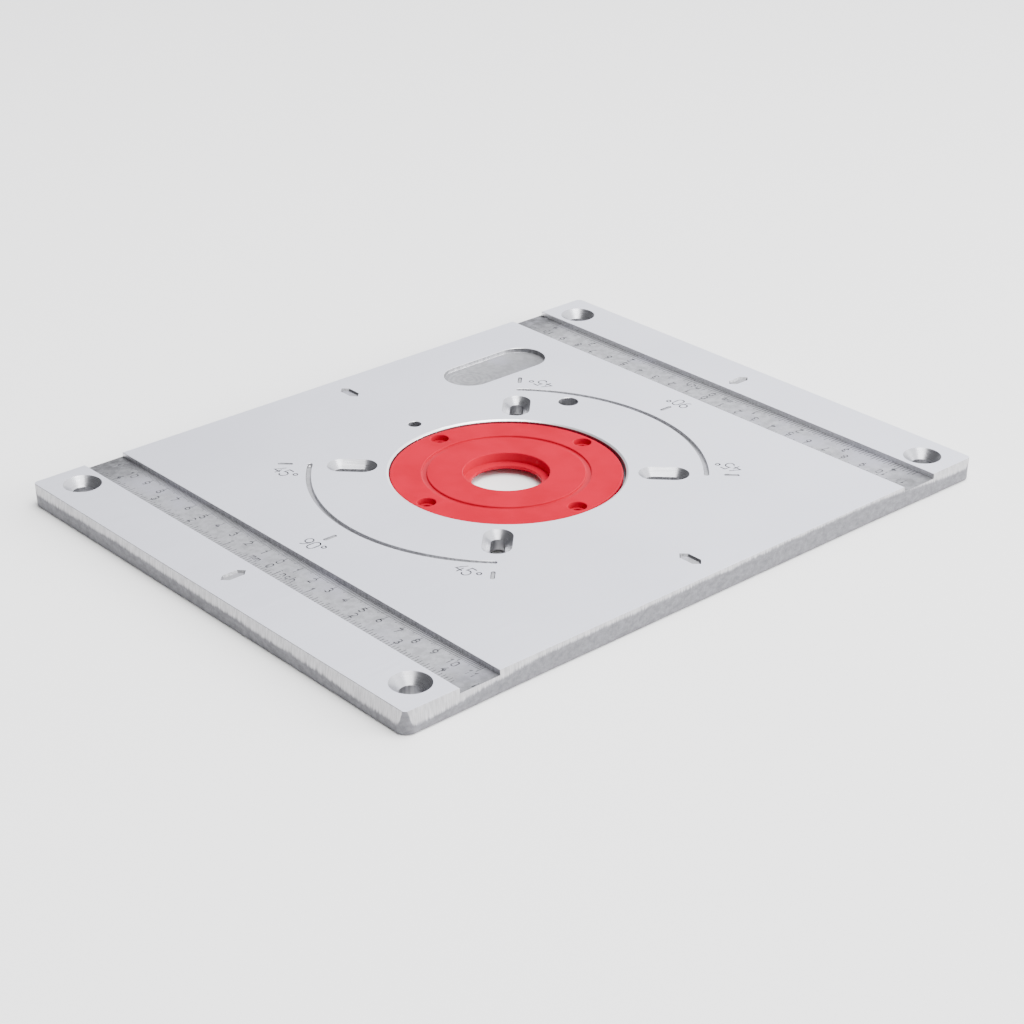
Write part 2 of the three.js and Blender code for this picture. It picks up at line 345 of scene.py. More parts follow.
def perimeter():
    """The nominal outline, anticlockwise, as points about 1 mm apart."""
    points = []
    for corner, (sx, sy) in enumerate([(1, -1), (1, 1), (-1, 1), (-1, -1)]):
        cx, cy = sx * (HALF_X - CORNER_RADIUS), sy * (HALF_Y - CORNER_RADIUS)
        for step in range(CORNER_STEPS + 1):
            angle = math.pi / 2 * (corner - 1 + step / CORNER_STEPS)
            points.append((cx + CORNER_RADIUS * math.cos(angle), cy + CORNER_RADIUS * math.sin(angle)))
        half = HALF_Y if corner % 2 == 0 else HALF_X
        length = 2 * (half - CORNER_RADIUS)
        count = round(length / COLUMN_SPACING)
        x, y = points[-1]
        dx, dy = -sy * (corner % 2), sx * (1 - corner % 2)
        points += [(x + dx * length * i / count, y + dy * length * i / count)
                   for i in range(1, count)]
    return points


def side_point(x, y, z):
    """A point of the side: the cast surface, cut back where it stands outside the milled planes."""
    lean_x, lean_y = lean_at(x, y, z)
    cast_x = abs(x) * (1 - lean_x / HALF_X)
    cast_y = abs(y) * (1 - lean_y / HALF_Y)
    limit_x = mill_limit(HALF_X, z, (y / HALF_Y + 1) / 2)
    limit_y = mill_limit(HALF_Y, z, (x / HALF_X + 1) / 2)
    over = max(cast_x - limit_x, cast_y - limit_y) / MILL_SLOPE
    point = (math.copysign(min(cast_x, limit_x), x), math.copysign(min(cast_y, limit_y), y), z)
    return point, over


def plate_blank():
    outline = perimeter()
    heights = [CAST_FOOT * (i / FOOT_ROWS) ** 2 for i in range(FOOT_ROWS)]
    upper = TOP - EDGE_BREAK
    heights += [CAST_FOOT + (upper - CAST_FOOT) * i / SIDE_ROWS for i in range(SIDE_ROWS + 1)]
    heights.append(TOP)
    sides = [[side_point(x, y, z) for x, y in outline] for z in heights]
    bodies = Bodies()
    bands = ["plate_side"] * (len(heights) - 1)
    bodies.skin([[point for point, _ in row] for row in sides], bands, ("cast_underside", "milled_face"))
    blank = bodies.make("plate_body")
    height_over = blank.data.attributes.new("mill_height", "FLOAT", "POINT")
    height_over.data.foreach_set("value", [over for row in sides for _, over in row])
    return blank


# --- Plate cuts ------------------------------------------------------------------------------

def broken(depth, extra=EDGE_BREAK):
    """Levels of a pocket with straight walls and a small chamfer at the top face."""
    return [(TOP - depth, 0), (TOP - extra, 0), (TOP + OVERCUT, extra + OVERCUT)]


def round_hole(bodies, hole):
    """A straight hole with a small chamfer at the top face."""
    place = placed(hole["x"], hole["y"])
    levels = [(-OVERCUT, 0), (TOP - EDGE_BREAK, 0), (TOP + OVERCUT, EDGE_BREAK + OVERCUT)]
    bodies.loft(circle(hole["radius"]), levels, ["machined_wall", "edge"], place=place)


def countersink(bodies, shape, sink, place):
    """A through hole below a cone of 90 degrees."""
    levels = [(-OVERCUT, 0), (TOP - sink, 0), (TOP + OVERCUT, sink + OVERCUT)]
    bodies.loft(shape, levels, ["machined_wall", "turned_cone"], place=place)


def open_channels(bodies):
    shape = rectangle(CHANNEL["half_width"], HALF_Y + OVERCUT, CHANNEL_RUNGS)
    for side in (-1, 1):
        place = placed(side * CHANNEL["x"])
        bands = ["channel_wall", "edge"]
        bodies.loft(shape, broken(CHANNEL["depth"]), bands, "channel_floor", place, ladder=True)


def sink_corner_holes(bodies):
    sink = CORNER_HOLE["rim"] - CORNER_HOLE["radius"]
    for x in (-CORNER_HOLE["x"], CORNER_HOLE["x"]):
        for y in (-CORNER_HOLE["y"], CORNER_HOLE["y"]):
            countersink(bodies, circle(CORNER_HOLE["radius"]), sink, placed(x, y))


def sink_router_slots(bodies):
    sink = ROUTER_SLOT["rim"] - ROUTER_SLOT["radius"]
    shape = slot(ROUTER_SLOT["run"], ROUTER_SLOT["radius"])
    for quarter in range(4):
        place = placed(ROUTER_SLOT["pitch"], 0, math.pi / 4 + quarter * math.pi / 2)
        countersink(bodies, shape, sink, place)


def cut_index_marks(bodies):
    shape = pointed_mark(MARK["length"], MARK["width"])
    slope = MARK["floor_inset"] / MARK["depth"]
    levels = [(TOP - MARK["depth"], -MARK["floor_inset"]), (TOP + OVERCUT, OVERCUT * slope)]
    for quarter in range(4):
        reach = MARK["y"] if quarter % 2 else MARK["x"]
        place = placed(reach, 0, quarter * math.pi / 2)
        bodies.loft(shape, levels, ["mark_wall"], "mark_floor", place)


def cut_label_recess(bodies):
    shape = slot(LABEL_RECESS["run"], LABEL_RECESS["radius"])
    place = placed(LABEL_RECESS["x"], LABEL_RECESS["y"])
    floor = TOP - LABEL_RECESS["depth"]
    levels = [(floor + rise, -inset) for rise, inset in LABEL_FOOT]
    levels += broken(LABEL_RECESS["depth"] - LABEL_FOOT_HEIGHT)
    bodies.loft(shape, levels, ["recess_wall"] * 3 + ["edge"], "recess_floor", place)


def cut_arc_grooves(bodies):
    shape = arc_band(ARC_GROOVE["radius"], ARC_GROOVE["half_width"], ARC_GROOVE["half_angle"])
    depth, edge = ARC_GROOVE["depth"], ARC_GROOVE_EDGE
    levels = [(TOP - depth, -edge["floor_inset"])] + broken(depth - edge["foot"], edge["edge_break"])
    bands = ["groove_wall", "groove_wall", "edge"]
    for angle in (0, math.pi):
        bodies.loft(shape, levels, bands, "mark_floor", placed(angle=angle))


def open_ring_seat(bodies):
    step = BORE["radius"] - BORE["opening"]
    width, depth = BORE["edge_width"], BORE["edge_depth"]
    slope = width / depth
    below, above = BORE_BLEND["below"], BORE_BLEND["above"]
    levels = [(-OVERCUT, 0), (SEAT_HEIGHT, 0), (SEAT_HEIGHT, step), (TOP - depth - below, step)]
    levels += [(TOP - depth + above, step + above * slope)]
    levels += [(TOP + OVERCUT, step + (depth + OVERCUT) * slope)]
    bands = ["machined_wall", "seat_ledge", "bore_wall"] + ["edge"] * 2
    bodies.loft(circle(BORE["opening"], LARGE_ROUND), levels, bands)


def screw_places():
    """Where the ring's four screws go, in the ring and in the ledge under it."""
    places = []
    for quarter in range(4):
        angle = quarter * math.pi / 2
        x = RING_X + SCREW_PITCH * math.cos(angle)
        y = RING_Y + SCREW_PITCH * math.sin(angle)
        places.append(placed(x, y))
    return places


def drill_tapped_holes(bodies):
    sink = TAPPED_HOLE["sink"]
    levels = [(-OVERCUT, 0), (SEAT_HEIGHT - sink, 0), (SEAT_HEIGHT + OVERCUT, sink + OVERCUT)]
    shape = circle(TAPPED_HOLE["radius"])
    for place in screw_places():
        bodies.loft(shape, levels, ["machined_wall", "turned_cone"], place=place)


def cut_router_seat(bodies):
    levels = [(-OVERCUT, OVERCUT), (ROUTER_SEAT["edge_break"], 0), (ROUTER_SEAT["depth"], 0)]
    bodies.loft(circle(ROUTER_SEAT["radius"], LARGE_ROUND), levels, ["machined_wall"] * 2)
    bodies.finishes[-1] = "router_seat"


# --- Engraved lines --------------------------------------------------------------------------

def arc(cx, cy, rx, ry, start, end, steps=9):
    """Points of an elliptical arc, from one angle to another in degrees."""
    angles = [math.radians(start + (end - start) * i / steps) for i in range(steps + 1)]
    return [(cx + rx * math.cos(a), cy + ry * math.sin(a)) for a in angles]


def loop(cx, cy, rx, ry, steps=16):
    """A closed ellipse: its last point joins its first."""
    return arc(cx, cy, rx, ry, 0, 360 * (steps - 1) / steps, steps - 1) + ["closed"]


ARCH = arc(0.30, 0.36, 0.24, 0.26, 160, 0, 6) + [(0.54, 0)]

# Each figure is drawn in a box of height 1 and width 0.56, as strokes that don't cross themselves.
GLYPHS = {
    "0": [arc(0.28, 0.70, 0.26, 0.30, 0, 180) + arc(0.28, 0.30, 0.26, 0.30, 180, 360) + ["closed"]],
    "1": [[(0.08, 0.78), (0.30, 1), (0.30, 0)]],
    "2": [arc(0.28, 0.72, 0.26, 0.28, 165, -35) + [(0.02, 0), (0.56, 0)]],
    "3": [arc(0.25, 0.76, 0.24, 0.24, 150, -70) + arc(0.27, 0.27, 0.27, 0.27, 70, -150)],
    "4": [[(0.40, 1), (0, 0.30), (0.58, 0.30)], [(0.40, 0), (0.40, 0.60)]],
    "5": [[(0.50, 1), (0.08, 1), (0.05, 0.57)] + arc(0.27, 0.32, 0.28, 0.32, 115, -150)],
    "6": [loop(0.28, 0.30, 0.26, 0.30), arc(0.56, 0.32, 0.54, 0.68, 105, 170)],
    "7": [[(0, 1), (0.54, 1), (0.18, 0)]],
    "8": [loop(0.28, 0.76, 0.21, 0.24), loop(0.28, 0.27, 0.26, 0.27)],
    "9": [loop(0.28, 0.70, 0.26, 0.30), arc(0, 0.68, 0.54, 0.68, -75, -10)],
    "°": [loop(0.20, 0.84, 0.15, 0.15)],
    "m": [[(0, 0), (0, 0.62)], arc(0.15, 0.40, 0.14, 0.22, 165, 0, 5) + [(0.29, 0)],
          arc(0.44, 0.40, 0.14, 0.22, 165, 0, 5) + [(0.58, 0)]],
    "i": [[(0.28, 0), (0.28, 0.62)], [(0.28, 0.80), (0.28, 0.90)]],
    "n": [[(0.06, 0), (0.06, 0.62)], ARCH],
    "c": [arc(0.30, 0.31, 0.24, 0.31, 50, 310)],
    "h": [[(0.06, 0), (0.06, 1)], ARCH],
}
GLYPH_WIDTH = 0.56
STROKE_PASSES = 3  # strokes of one figure may cross each other, so each is cut in a pass of its own
ENGRAVING_RISE = 0.05  # how far a line's cutter stands out of the surface, and is widened there
LINE_TAPER = 5  # the bottom of a line reaches a fifth of its width to each side
SHARPEST_MITRE = 0.5  # keeps a line from being stretched too far round a sharp bend


def engrave(bodies, path, width, surface, depth, finish="engraving"):
    """A groove along a flat path, wide at the surface and narrow at its bottom."""
    closed = path[-1] == "closed"
    points = [Vector(p) for p in (path[:-1] if closed else path)]
    last = len(points) - 1
    mouth, bottom = width / 2 + ENGRAVING_RISE, width / LINE_TAPER
    section = [(mouth, ENGRAVING_RISE), (bottom, -depth), (-bottom, -depth), (-mouth, ENGRAVING_RISE)]
    loops = []
    for i, point in enumerate(points):
        before = points[i - 1] if i or closed else None
        after = points[(i + 1) % len(points)] if i < last or closed else None
        ahead = (after - point).normalized() if after else (point - before).normalized()
        behind = (point - before).normalized() if before else ahead
        normal = Vector((-ahead.y - behind.y, ahead.x + behind.x)).normalized()
        stretch = 1 / max(normal.dot(Vector((-ahead.y, ahead.x))), SHARPEST_MITRE)
        loops.append([(*(point + normal * side * stretch), surface + height)
                      for side, height in section])
    bands = [finish] * (len(loops) if closed else len(loops) - 1)
    bodies.skin(loops, bands, closed=closed)


def text_strokes(text, x, start_y, style):
    """Strokes of a text whose tops point to +X and that reads towards -Y, centred on x."""
    height = style["height"]
    strokes = []
    for place, character in enumerate(text):
        origin = start_y - place * style["pitch"]
        for stroke_pass, path in enumerate(GLYPHS[character]):
            points = [p if p == "closed" else (x + (p[1] - 0.5) * height, origin - p[0] * height)
                      for p in path]
            strokes.append((stroke_pass, points))
    return strokes


def figure_strokes(text, x, y):
    """A scale figure centred on its graduation."""
    width = GLYPH_WIDTH * FIGURE["height"] + (len(text) - 1) * FIGURE["pitch"]
    return text_strokes(text, x, y + width / 2, FIGURE)


def scale_figures():
    """Figures of the channel at -X: centimetres in the inner column and inches in the outer one."""
    strokes = []
    for number in range(int(SCALE_END / 10) + 1):
        for y in {number * 10, -number * 10}:
            strokes += figure_strokes(str(number), -CENTIMETRE_COLUMN, y)
    for number in range(int(SCALE_END / INCH) + 1):
        for y in {number * INCH, -number * INCH}:
            strokes += figure_strokes(str(number), -INCH_COLUMN, y)
    for word, y in UNIT_WORDS:
        strokes += figure_strokes(word, -INCH_COLUMN, y)
    return strokes


def tick_length(number, lengths):
    """The length for the coarsest division that a graduation falls on."""
    return next(length for step, length in lengths if number % step == 0)


def scale_ticks():
    """Graduations of the channel at -X: millimetres at its inner wall, sixteenths at its outer one."""
    inner = -CHANNEL["x"] + CHANNEL["half_width"] - SCALE_INSET
    outer = -CHANNEL["x"] - CHANNEL["half_width"] + SCALE_INSET
    ticks = []
    for number in range(-int(SCALE_END), int(SCALE_END) + 1):
        length = tick_length(number, MILLIMETRE_TICKS)
        ticks.append([(inner, number), (inner - length, number)])
    sixteenths = int(SCALE_END / INCH * INCH_PARTS)
    for number in range(-sixteenths, sixteenths + 1):
        length = tick_length(number, SIXTEENTH_TICKS)
        y = number * INCH / INCH_PARTS
        ticks.append([(outer, y), (outer + length, y)])
    return ticks


def half_turned(path, half_turn):
    """The path, or its copy turned by half a turn for the +X half of the plate."""
    if not half_turn:
        return path
    return [p if p == "closed" else (-p[0], -p[1]) for p in path]


def angle_labels():
    """Angles by the arc groove at -X."""
    return [stroke for text, x, y in ANGLE_LABELS for stroke in text_strokes(text, x, y, LABEL)]


def engrave_half(passes, ticks, half_turn):
    """The figures, labels and graduations of one half of the plate."""
    floor = TOP - CHANNEL["depth"]
    for stroke_pass, path in scale_figures():
        path = half_turned(path, half_turn)
        engrave(passes[stroke_pass], path, FIGURE["line"], floor, FIGURE["depth"])
    for stroke_pass, path in angle_labels():
        path = half_turned(path, half_turn)
        engrave(passes[stroke_pass], path, LABEL["line"], TOP, LABEL["depth"])
    for path in scale_ticks():
        path = half_turned(path, half_turn)
        engrave(ticks, path, TICK_LINE["width"], floor, TICK_LINE["depth"], "graduation")


def cut_angle_ticks(bodies):
    shape = slot(ANGLE_TICK["run"], ANGLE_TICK["half_width"], TICK_END_STEPS)
    floor = TOP - ANGLE_TICK["depth"]
    levels = [(floor, -ANGLE_TICK["floor_inset"]), (TOP + OVERCUT, ANGLE_TICK_FLARE)]
    for eighth in ANGLE_TICK_EIGHTHS:
        place = placed(ANGLE_TICK["radius"], 0, eighth * math.pi / 4)
        bodies.loft(shape, levels, ["engraving"], "mark_floor", place)


def cut_nick(bodies):
    y = NICK["from_side"] - HALF_Y
    path = [(NICK["start"], y), (NICK["end"], y)]
    engrave(bodies, path, NICK["width"], TOP - CHANNEL["depth"], NICK["depth"])


def engrave_plate(plate):
    """Cuts the ticks first and then the figures and labels, one pass of strokes after another."""
    passes = [Bodies() for _ in range(STROKE_PASSES)]
    ticks = Bodies()
    for half_turn in (False, True):
        engrave_half(passes, ticks, half_turn)
    cut_angle_ticks(ticks)
    cut_nick(ticks)
    for bodies in [ticks, *passes]:
        subtract(plate, bodies)


def make_plate():
    plate = plate_blank()
    pockets = Bodies()
    for cut in (open_channels, sink_corner_holes, sink_router_slots, cut_index_marks, cut_label_recess,
                cut_arc_grooves, open_ring_seat):
        cut(pockets)
    round_hole(pockets, PILOT_HOLE)
    round_hole(pockets, PIN_HOLE)
    subtract(plate, pockets)
    for cut in (drill_tapped_holes, cut_router_seat):
        bodies = Bodies()
        cut(bodies)
        subtract(plate, bodies)
    engrave_plate(plate)
    to_metres(plate, PLATE_SHARP_ANGLE)
    return plate


# --- Insert ring -----------------------------------------------------------------------------

def fillet(corner, radius, start, end, steps=5):
    """A round edge: points on a circle about a corner, from one angle to another in degrees."""
    return [(corner[0] + radius * math.cos(math.radians(start + (end - start) * i / steps)),
             corner[1] + radius * math.sin(math.radians(start + (end - start) * i / steps)))
            for i in range(steps + 1)]


def ring_outside():
    """The hub, the flange and its rounded rim, from the bottom up."""
    flange = RING_TOP - RING_FLANGE
    points = [(RING_HUB - RING_BEVEL, RING_BOTTOM), (RING_HUB, RING_BOTTOM + RING_BEVEL)]
    points += [(RING_HUB, flange), (RING_RADIUS - RING_BEVEL, flange), (RING_RADIUS, flange + RING_BEVEL)]
    points += fillet((RING_RADIUS - RING_RIM, RING_TOP - RING_RIM), RING_RIM, 0, 90)
    return points + [(RING_RADIUS - RING_RIM - BRIM, RING_TOP)]


def ring_groove():
    """The circular groove in the top, from its outer side inwards."""
    inner, outer, soft = RING_GROOVE["inner"], RING_GROOVE["outer"], RING_GROOVE["round"]
    floor = RING_TOP - RING_GROOVE["depth"]
    points = [(outer + soft + BRIM, RING_TOP)] + fillet((outer + soft, RING_TOP - soft), soft, 90, 180)
    points += fillet((outer - soft, floor + soft), soft, 0, -90)
    points += fillet((inner + soft, floor + soft), soft, 270, 180)
    points += fillet((inner - soft, RING_TOP - soft), soft, 0, 90)
    return points + [(inner - soft - BRIM, RING_TOP)]


def ring_bore():
    """The stepped bore, from its mouth down past the lip."""
    bore, mouth, foot = GUIDE_BORE["radius"], GUIDE_BORE["mouth"], GUIDE_BORE["foot"]
    lip, soft, bevel = GUIDE_LIP["radius"], GUIDE_LIP["round"], GUIDE_LIP["bevel"]
    lip_top = RING_TOP - GUIDE_BORE["depth"]
    points = [(bore + mouth + BRIM, RING_TOP)] + fillet((bore + mouth, RING_TOP - mouth), mouth, 90, 180)
    points += fillet((bore - foot, lip_top + foot), foot, 0, -90)
    points += fillet((lip + soft, lip_top - soft), soft, 90, 180)
    return points + [(lip, RING_BOTTOM + bevel), (lip + bevel, RING_BOTTOM)]


def ring_blank():
    """The ring before its screw holes: its section of (radius, height) points, turned."""
    section = ring_outside() + ring_groove() + ring_bore()
    loops = [[(x, y, z) for x, y in circle(radius, LARGE_ROUND)(0)] for radius, z in section]
    flat = [z > RING_TOP - FLAT_TOLERANCE for _, z in section]
    bands = ["ring_top" if here and ahead else "ring_plastic"
             for here, ahead in zip(flat, flat[1:] + flat[:1])]
    bodies = Bodies()
    bodies.skin(loops, bands, place=placed(RING_X, RING_Y), closed=True)
    return bodies.make("ring_body")


def screw_hole_levels():
    """A narrow hole below a sunk head, with a rounded edge at the top."""
    narrow = SCREW_HOLE["shank"] - SCREW_HOLE["head"]
    seat = RING_TOP - SCREW_HOLE["sink"]
    soft = SCREW_HOLE["round"]
    levels = [(-OVERCUT, narrow), (seat, narrow), (seat, 0)]
    levels += [(RING_TOP - soft * down, soft * out) for down, out in ROUND_STEPS]
    return levels + [(RING_TOP + OVERCUT, soft + OVERCUT * SCREW_HOLE["flare"])]


def make_ring():
    ring = ring_blank()
    holes = Bodies()
    levels = screw_hole_levels()
    for place in screw_places():
        holes.loft(circle(SCREW_HOLE["head"]), levels, ["ring_plastic"] * (len(levels) - 1), place=place)
    subtract(ring, holes)
    to_metres(ring, RING_SHARP_ANGLE)
    return ring


# --- Materials -------------------------------------------------------------------------------

class Surface:
    """A Principled material whose layers are read in millimetres of the row frame."""

    def __init__(self, name, **sockets):
        self.material = bpy.data.materials.new(name)
        self.material.use_nodes = True
        self.nodes = self.material.node_tree.nodes
        self.links = self.material.node_tree.links
        self.shader = self.nodes["Principled BSDF"]
        for socket, value in sockets.items():
            self.shader.inputs[socket.replace("_", " ").title()].default_value = value
        self.place = self.nodes.new("ShaderNodeTexCoord").outputs["Object"]
        self.height = None

    def stretched(self, scale):
        """Coordinates multiplied by a scale for each axis."""
        mapping = self.nodes.new("ShaderNodeMapping")
        mapping.inputs["Scale"].default_value = [factor / MM for factor in scale]
        self.links.new(self.place, mapping.inputs["Vector"])
        return mapping.outputs["Vector"]

    def noise(self, size, detail=3.0, stretch=(1, 1, 1), roughness=0.5):
        """Cloudy noise whose blotches are about size millimetres across."""
        texture = self.nodes.new("ShaderNodeTexNoise")
        self.links.new(self.stretched([factor / size for factor in stretch]), texture.inputs["Vector"])
        texture.inputs["Scale"].default_value = 1.0
        texture.inputs["Detail"].default_value = detail
        texture.inputs["Roughness"].default_value = roughness
        return texture.outputs["Fac"]

    def rings(self, x, y, pitch):
        """Rings round an upright line through x, y, a pitch apart."""
        offset = self.nodes.new("ShaderNodeVectorMath")
        offset.operation = "SUBTRACT"
        offset.inputs[1].default_value = (x, y, 0)
        self.links.new(self.stretched((1, 1, 1)), offset.inputs[0])
        texture = self.nodes.new("ShaderNodeTexWave")
        texture.wave_type = "RINGS"
        texture.rings_direction = "Z"
        self.links.new(offset.outputs[0], texture.inputs["Vector"])
        texture.inputs["Scale"].default_value = math.pi / 10 / pitch
        texture.inputs["Distortion"].default_value = 3.5
        return texture.outputs["Fac"]

    def ramp(self, axis, start, end):
        """A share that rises from 0 to 1 between two places along an axis, in millimetres."""
        split = self.nodes.new("ShaderNodeSeparateXYZ")
        self.links.new(self.place, split.inputs[0])
        return self.remap(split.outputs[axis], start * MM, end * MM, 0, 1)

    def math(self, operation, first, second):
        node = self.nodes.new("ShaderNodeMath")
        node.operation = operation
        for socket, value in zip(node.inputs, (first, second)):
            if isinstance(value, (int, float)):
                socket.default_value = value
            else:
                self.links.new(value, socket)
        return node.outputs[0]

    def remap(self, value, low, high, to_low, to_high):
        node = self.nodes.new("ShaderNodeMapRange")
        node.interpolation_type = "SMOOTHSTEP"
        self.links.new(value, node.inputs["Value"])
        for socket, number in zip(node.inputs[1:5], (low, high, to_low, to_high)):
            socket.default_value = number
        return node.outputs[0]

    def blend(self, first, second, share):
        """A colour between two colours, or colour outputs, by a share."""
        node = self.nodes.new("ShaderNodeMix")
        node.data_type = "RGBA"
        self.links.new(share, node.inputs[0])
        for socket, value in ((node.inputs[6], first), (node.inputs[7], second)):
            if isinstance(value, tuple):
                socket.default_value = (*value, 1)
            else:
                self.links.new(value, socket)
        return node.outputs[2]

    def colour(self, output):
        self.links.new(output, self.shader.inputs["Base Color"])

    def roughness(self, output):
        self.links.new(output, self.shader.inputs["Roughness"])

    def bump(self, height, depth):
        """Adds relief of a depth in millimetres on top of what is there."""
        node = self.nodes.new("ShaderNodeBump")
        node.inputs["Strength"].default_value = 1.0
        node.inputs["Distance"].default_value = depth * MM
        self.links.new(height, node.inputs["Height"])
        if self.height:
            self.links.new(self.height, node.inputs["Normal"])
        self.height = node.outputs["Normal"]
        self.links.new(self.height, self.shader.inputs["Normal"])


def milled_face():
    """The top: fine facing marks and a faint cloudiness."""
    surface = Surface("milled_aluminium_face", metallic=1.0, roughness=0.46)
    cloud = surface.remap(surface.noise(70, 2), 0.3, 0.7, 0, 1)
    surface.colour(surface.blend((0.77, 0.775, 0.85), (0.81, 0.815, 0.885), cloud))
    marks = surface.noise(0.5, 2, (0.02, 1, 1))
    surface.roughness(surface.remap(marks, 0.2, 0.8, 0.42, 0.52))
    surface.bump(marks, 0.004)
    surface.bump(surface.noise(0.35, 2), 0.004)
    return surface.material


def edge():
    """The small chamfer round the cuts, left bright."""
    surface = Surface("bright_edge", metallic=1.0, roughness=0.3)
    surface.colour(surface.blend((0.86, 0.86, 0.87), (0.92, 0.92, 0.93), surface.noise(2, 2)))
    surface.bump(surface.noise(0.4, 2), 0.006)
    return surface.material


def no_stain(surface):
    return surface.remap(surface.noise(40, 2), 0.5, 0.8, 0, 0.1)


def floor_finish(name, light, dark, stain=no_stain):
    """A milled pocket floor, duller than the top, mottled and with a faint lavender cast."""
    surface = Surface(name, metallic=1.0, roughness=0.5)
    mottle = surface.remap(surface.noise(3.4, 6, roughness=0.72), 0.36, 0.64, 0, 1)
    base = surface.blend(dark, light, mottle)
    tint = surface.remap(surface.noise(22, 2), 0.45, 0.7, 0, 1)
    tone = surface.blend(base, (light[0] * 0.97, light[1] * 0.965, light[2] * 1.03), tint)
    surface.colour(surface.blend(tone, tuple(0.3 * part for part in dark), stain(surface)))
    surface.roughness(surface.remap(mottle, 0, 1, 0.56, 0.46))
    surface.bump(surface.noise(0.8, 4), 0.012)
    return surface.material


def dull_ends(surface):
    """The channel floors are darker past the ends of their scales."""
    far = surface.ramp("Y", 88, 116)
    near = surface.math("MULTIPLY", surface.ramp("Y", -98, -117), 0.7)
    cloud = surface.remap(surface.noise(4, 5, roughness=0.65), 0.3, 0.7, 0.55, 1)
    return surface.math("MULTIPLY", surface.math("MAXIMUM", far, near), cloud)


def end_mill_swirl(surface):
    """Rings that the end mill left where it plunged."""
    centre = LABEL_RECESS["x"] - LABEL_RECESS["run"] / 2
    rings = surface.rings(centre, LABEL_RECESS["y"], 2.2)
    surface.bump(rings, 0.01)
    fading = surface.ramp("X", centre + 26, centre - 6)
    return surface.math("MULTIPLY", surface.remap(rings, 0.2, 0.8, 0, 0.22), fading)


def channel_floor():
    return floor_finish("channel_floor", (0.46, 0.46, 0.482), (0.33, 0.33, 0.345), dull_ends)


def recess_floor():
    """The label recess: like the channel floor, with the swirl of the end mill."""
    return floor_finish("recess_floor", (0.37, 0.37, 0.385), (0.30, 0.30, 0.312), end_mill_swirl)


def mark_floor():
    """The bottoms of the index marks, the arc grooves and the angle ticks."""
    return floor_finish("mark_floor", (0.48, 0.48, 0.50), (0.38, 0.38, 0.395))


def wall_finish(name, light, dark, roughness):
    surface = Surface(name, metallic=1.0, roughness=roughness)
    streaks = surface.noise(1.1, 3, (1, 1, 0.12))
    surface.colour(surface.blend(dark, light, surface.remap(streaks, 0.35, 0.65, 0, 1)))
    surface.bump(streaks, 0.02)
    return surface.material


def channel_wall():
    """Painted shade: the walls of the channel on the -X side of the plate are coloured darker than those
    of the channel on the +X side, for the shade that falls on them.
    """
    surface = Surface("channel_wall", metallic=1.0, roughness=0.42)
    streaks = surface.noise(1.1, 3, (1, 1, 0.12))
    share = surface.remap(streaks, 0.35, 0.65, 0, 1)
    # Painted shade: a darker copy of the wall colour for the -X channel and a lit copy for the +X
    # channel, picked by a ramp along X.
    shaded_tone = surface.blend((0.62, 0.62, 0.645), (0.76, 0.76, 0.79), share)
    bright = surface.blend((0.86, 0.86, 0.885), (0.95, 0.95, 0.975), share)
    surface.colour(surface.blend(shaded_tone, bright, surface.ramp("X", 85, 115)))
    surface.bump(streaks, 0.02)
    return surface.material


def recess_wall():
    return wall_finish("recess_wall", (0.40, 0.40, 0.415), (0.30, 0.30, 0.312), 0.42)


def groove_wall():
    return wall_finish("groove_wall", (0.56, 0.56, 0.58), (0.42, 0.42, 0.435), 0.42)


def machined_wall():
    return wall_finish("machined_wall", (0.40, 0.40, 0.42), (0.30, 0.30, 0.32), 0.5)


def bore_wall():
    return wall_finish("bore_wall", (0.44, 0.44, 0.46), (0.32, 0.32, 0.34), 0.36)


def seat_ledge():
    return floor_finish("seat_ledge", (0.40, 0.40, 0.42), (0.30, 0.30, 0.32))


def mark_wall():
    # Painted shade: the index marks' walls are coloured darker than the other machined walls, for the
    # shade inside the marks.
    return wall_finish("mark_wall", (0.32, 0.32, 0.335), (0.22, 0.22, 0.23), 0.4)


def turned_cone():
    """Countersinks: bright, with fine turning rings one above another."""
    surface = Surface("turned_cone", metallic=1.0, roughness=0.36)
    rings = surface.noise(0.22, 3, (0.02, 0.02, 1))
    surface.colour(surface.blend((0.34, 0.34, 0.36), (0.56, 0.56, 0.585), rings))
    surface.roughness(surface.remap(rings, 0.3, 0.7, 0.36, 0.26))
    surface.bump(rings, 0.01)
    return surface.material


def cast_relief(surface):
    """The grain and pits that sand leaves on a casting."""
    grain = surface.noise(1.4, 6, roughness=0.62)
    pits = surface.remap(surface.noise(3.2, 4, roughness=0.6), 0.28, 0.42, 0, 1)
    surface.bump(grain, 0.10)
    surface.bump(pits, 0.05)


def plate_side():
    """Cast skin below, milled band with upright chatter marks above, parted by a ragged line."""
    surface = Surface("plate_side", metallic=1.0, roughness=0.5)
    mottle = surface.remap(surface.noise(2.8, 6, (1, 1, 1.4), 0.68), 0.3, 0.7, 0, 1)
    cast = surface.blend((0.16, 0.16, 0.172), (0.24, 0.24, 0.256), mottle)
    chatter = surface.noise(0.7, 3, (1, 1, 0.1))
    strength = surface.remap(chatter, 0.3, 0.7, 0, 1)
    milled = surface.blend((0.37, 0.365, 0.375), (0.51, 0.503, 0.517), strength)
    over = surface.nodes.new("ShaderNodeAttribute")
    over.attribute_name = "mill_height"
    ragged = surface.math("ADD", over.outputs["Fac"], surface.remap(chatter, 0.25, 0.75, -0.45, 0.45))
    share = surface.remap(ragged, -0.8, 1.3, 0, 1)
    surface.colour(surface.blend(cast, milled, share))
    surface.roughness(surface.remap(share, 0, 1, 0.6, 0.4))
    grain = surface.noise(1.3, 6, roughness=0.62)
    skin = surface.math("MULTIPLY", grain, surface.math("SUBTRACT", 1, share))
    surface.bump(skin, 0.14)
    surface.bump(chatter, 0.03)
    return surface.material


